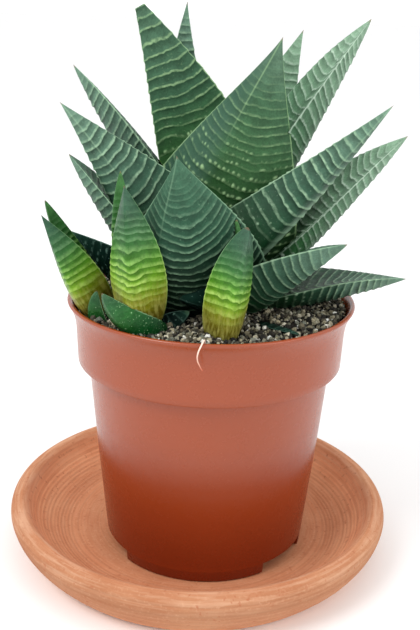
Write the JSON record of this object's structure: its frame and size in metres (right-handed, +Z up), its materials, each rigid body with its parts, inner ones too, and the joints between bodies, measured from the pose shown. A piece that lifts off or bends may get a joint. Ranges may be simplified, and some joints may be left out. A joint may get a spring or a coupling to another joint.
{
  "type": "potted haworthia",
  "caption": "Rosette of thick pointed leaves with raised cross ridges, with its offsets, in gritty soil in a flared plastic nursery pot that stands on a round clay saucer.",
  "frame": {"origin": "the middle of the saucer's flat underside", "axes": "+Z up, +Y away from the front, where the three offsets stand, +X to the right seen from the front"},
  "size_m": [0.1272, 0.1272, 0.1765],
  "materials": {
    "clay": "matte",
    "pot_plastic": "satin",
    "soil": "matte",
    "leaf": "satin",
    "offset_leaf": "satin",
    "young_leaf": "satin",
    "stem": "matte",
    "root": "matte"
  },
  "bodies": {
    "root": {"fallen_leaf_tip": "young_leaf", "leaf_back_left": "leaf", "leaf_back_right": "leaf", "leaf_centre": "leaf", "leaf_cut_tip": "leaf", "leaf_front": "leaf", "leaf_front_low": "leaf", "leaf_left_back": "leaf", "leaf_left_low": "leaf", "leaf_left_lower": "leaf", "leaf_left_upper": "leaf", "leaf_rear_left": "leaf", "leaf_rear_middle": "leaf", "leaf_rear_right": "leaf", "leaf_right_high": "leaf", "leaf_right_low": "leaf", "leaf_right_lower": "leaf", "leaf_right_middle": "leaf", "leaf_right_upper": "leaf", "pot": "pot_plastic", "pup_centre_inner_leaf": "offset_leaf", "pup_centre_outer_leaf": "offset_leaf", "pup_left_inner_leaf": "offset_leaf", "pup_left_outer_leaf": "offset_leaf", "pup_right_inner_leaf": "offset_leaf", "pup_right_outer_leaf": "offset_leaf", "saucer": "clay", "soil": "soil", "stem": "stem", "stray_root": "root", "young_leaf_far_left": "young_leaf", "young_leaf_left": "young_leaf", "young_leaf_middle": "young_leaf"}
  },
  "joints": []
}
